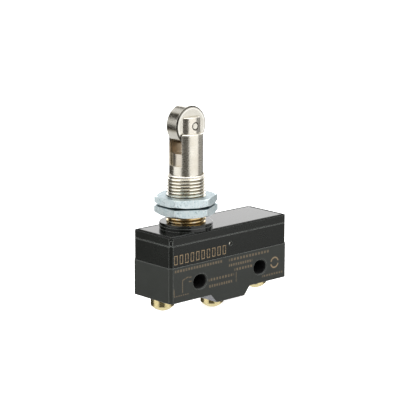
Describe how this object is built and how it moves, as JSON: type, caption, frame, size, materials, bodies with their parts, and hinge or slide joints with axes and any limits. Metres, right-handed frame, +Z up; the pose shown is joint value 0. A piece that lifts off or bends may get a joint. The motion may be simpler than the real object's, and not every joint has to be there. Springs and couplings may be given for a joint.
{
  "type": "limit switch",
  "caption": "Snap-action limit switch in a black moulded case, with a threaded bushing, hexagon nuts, a spring-loaded roller plunger and brass screw terminals.",
  "frame": {"origin": "centre of the side-hole pattern, half way through the thickness of the case", "axes": "+X along the case away from the plunger, Y across its thickness, +Z up along the plunger to the roller"},
  "size_m": [0.0492, 0.0196, 0.0645],
  "materials": {
    "black_phenolic": "semi-matt moulded phenolic, fine texture",
    "gloss_phenolic": "glossy moulded phenolic",
    "nickel": "bright nickel plate over brass, turned",
    "roller_steel": "ground steel, bright",
    "zinc": "clear blue zinc plate",
    "brass": "plain bright brass",
    "spring_steel": "drawn steel wire",
    "pin_plastic": "moulded insulating plastic, red-brown",
    "blade_copper": "beryllium copper strip",
    "silver": "silver contact alloy"
  },
  "bodies": {
    "housing": {"case_base": "black_phenolic", "case_cover": "black_phenolic", "top_plate": "gloss_phenolic", "bushing": "nickel", "spring_seat": "nickel", "terminal_screws": "brass", "common_terminal": "brass", "open_terminal": "brass", "closed_terminal": "brass", "blade_anchor": "brass", "anchor_rivet": "brass", "return_spring": "spring_steel", "cover_pin": "spring_steel", "open_contact": "silver", "closed_contact": "silver"},
    "lower_nut": {"lower_nut": "zinc"},
    "upper_nut": {"upper_nut": "zinc"},
    "plunger": {"plunger": "nickel", "plunger_clip": "nickel", "roller_pin": "nickel"},
    "roller": {"roller": "roller_steel"},
    "drive_pin": {"push_rod": "spring_steel", "pin_plunger": "pin_plastic", "overtravel_spring": "spring_steel"},
    "contact_blade": {"snap_blade": "blade_copper", "snap_spring": "blade_copper", "moving_contact": "silver"}
  },
  "joints": [
    {"name": "plunger_slide", "type": "slide", "parent": "housing", "child": "plunger", "axis": [0, 0, 1], "range_m": [-0.004, 0], "stiffness_N_per_m": 800, "springref_m": 0.004, "deforming": ["return_spring", "overtravel_spring"]},
    {"name": "roller_spin", "type": "hinge", "parent": "plunger", "child": "roller", "pos_m": [-0.0106, 0, 0.0465], "axis": [0, 1, 0], "continuous": true},
    {"name": "drive_pin_slide", "type": "slide", "parent": "housing", "child": "drive_pin", "axis": [0, 0, 1], "range_m": [-0.0001226, 0]},
    {"name": "blade_pivot", "type": "hinge", "parent": "housing", "child": "contact_blade", "pos_m": [-0.0191, 0, 0.007], "axis": [0, 1, 0], "range_deg": [0, 0.82641]},
    {"name": "lower_nut_turn", "type": "hinge", "parent": "housing", "child": "lower_nut", "pos_m": [-0.0106, 0, 0.02085], "axis": [0, 0, 1], "continuous": true},
    {"name": "upper_nut_turn", "type": "hinge", "parent": "housing", "child": "upper_nut", "pos_m": [-0.0106, 0, 0.02375], "axis": [0, 0, 1], "continuous": true}
  ],
  "couplings": [
    {"joint": "drive_pin_slide", "follows": "plunger_slide", "ratio": 0.03062},
    {"joint": "blade_pivot", "follows": "plunger_slide", "rad_per_m": -3.6023}
  ]
}
